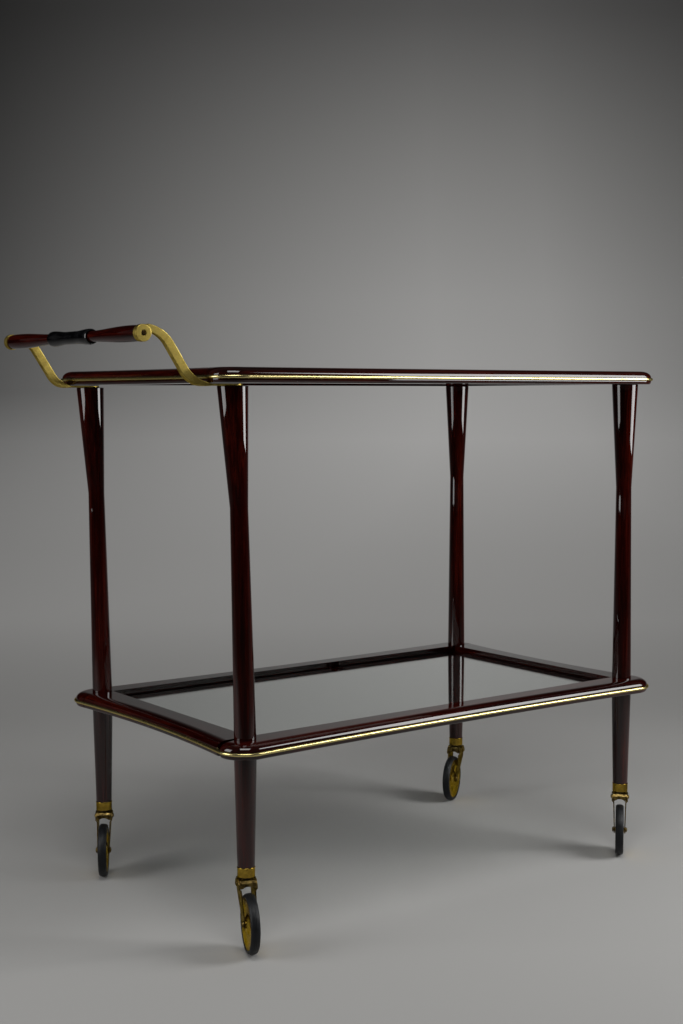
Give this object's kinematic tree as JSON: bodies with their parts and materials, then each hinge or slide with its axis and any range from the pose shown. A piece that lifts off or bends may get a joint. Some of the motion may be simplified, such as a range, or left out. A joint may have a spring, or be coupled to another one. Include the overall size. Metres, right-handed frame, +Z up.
{
  "type": "serving trolley",
  "caption": "Two-tier serving trolley with bow-sided wooden trays edged in brass, glass panels, turned spindle legs, a swan-neck push handle and swivel casters.",
  "frame": {"origin": "on the floor, midway between the four feet along and across the trolley", "axes": "+X along the trolley away from the handle, +Y across it from the front side to the back side, +Z up"},
  "size_m": [0.8491, 0.4724, 0.7661],
  "materials": {
    "mahogany": "high-gloss lacquer",
    "polished_brass": "polished, lightly tarnished",
    "aged_brass": "dull, aged",
    "clear_glass": "clear, polished edge",
    "steel": "plain turned",
    "black_sleeve": "glossy",
    "tyre_rubber": "worn satin"
  },
  "bodies": {
    "frame": {"lower_rail_front": "mahogany", "lower_rail_back": "mahogany", "lower_rail_handle_end": "mahogany", "lower_rail_far_end": "mahogany", "top_rail_front": "mahogany", "top_rail_back": "mahogany", "top_rail_handle_end": "mahogany", "top_rail_far_end": "mahogany", "lower_bead": "polished_brass", "top_bead": "polished_brass", "lower_glass": "clear_glass", "top_glass": "clear_glass", "spindle_handle_front": "mahogany", "spindle_handle_back": "mahogany", "spindle_far_front": "mahogany", "spindle_far_back": "mahogany", "foot_handle_front": "mahogany", "foot_handle_back": "mahogany", "foot_far_front": "mahogany", "foot_far_back": "mahogany", "leg_studs": "steel", "ferrules": "polished_brass", "stem_sockets": "steel", "handle_arm_front": "polished_brass", "handle_arm_back": "polished_brass", "grip_half_front": "mahogany", "grip_half_back": "mahogany", "grip_sleeve": "black_sleeve", "grip_rod": "steel", "grip_screws": "polished_brass"},
    "fork_body_handle_front": {"stem_handle_front": "steel", "crown_handle_front": "aged_brass", "fork_handle_front": "aged_brass", "rivets_handle_front": "aged_brass", "axle_handle_front": "aged_brass"},
    "wheel_body_handle_front": {"wheel_handle_front": "polished_brass", "tyre_handle_front": "tyre_rubber"},
    "fork_body_handle_back": {"stem_handle_back": "steel", "crown_handle_back": "aged_brass", "fork_handle_back": "aged_brass", "rivets_handle_back": "aged_brass", "axle_handle_back": "aged_brass"},
    "wheel_body_handle_back": {"wheel_handle_back": "polished_brass", "tyre_handle_back": "tyre_rubber"},
    "fork_body_far_front": {"stem_far_front": "steel", "crown_far_front": "aged_brass", "fork_far_front": "aged_brass", "rivets_far_front": "aged_brass", "axle_far_front": "aged_brass"},
    "wheel_body_far_front": {"wheel_far_front": "polished_brass", "tyre_far_front": "tyre_rubber"},
    "fork_body_far_back": {"stem_far_back": "steel", "crown_far_back": "aged_brass", "fork_far_back": "aged_brass", "rivets_far_back": "aged_brass", "axle_far_back": "aged_brass"},
    "wheel_body_far_back": {"wheel_far_back": "polished_brass", "tyre_far_back": "tyre_rubber"}
  },
  "joints": [
    {"name": "swivel_handle_front", "type": "hinge", "parent": "frame", "child": "fork_body_handle_front", "pos_m": [-0.334, -0.188, 0.1], "axis": [0, 0, 1], "continuous": true},
    {"name": "roll_handle_front", "type": "hinge", "parent": "fork_body_handle_front", "child": "wheel_body_handle_front", "pos_m": [-0.3428, -0.21033, 0.037], "axis": [0.9304, -0.3665, 0], "continuous": true},
    {"name": "swivel_handle_back", "type": "hinge", "parent": "frame", "child": "fork_body_handle_back", "pos_m": [-0.334, 0.188, 0.1], "axis": [0, 0, 1], "continuous": true},
    {"name": "roll_handle_back", "type": "hinge", "parent": "fork_body_handle_back", "child": "wheel_body_handle_back", "pos_m": [-0.3465, 0.16751, 0.037], "axis": [0.8536, -0.521, 0], "continuous": true},
    {"name": "swivel_far_front", "type": "hinge", "parent": "frame", "child": "fork_body_far_front", "pos_m": [0.334, -0.188, 0.1], "axis": [0, 0, 1], "continuous": true},
    {"name": "roll_far_front", "type": "hinge", "parent": "fork_body_far_front", "child": "wheel_body_far_front", "pos_m": [0.31639, -0.20431, 0.037], "axis": [0.6794, -0.7337, 0], "continuous": true},
    {"name": "swivel_far_back", "type": "hinge", "parent": "frame", "child": "fork_body_far_back", "pos_m": [0.334, 0.188, 0.1], "axis": [0, 0, 1], "continuous": true},
    {"name": "roll_far_back", "type": "hinge", "parent": "fork_body_far_back", "child": "wheel_body_far_back", "pos_m": [0.31378, 0.17507, 0.037], "axis": [0.5388, -0.8425, 0], "continuous": true}
  ]
}
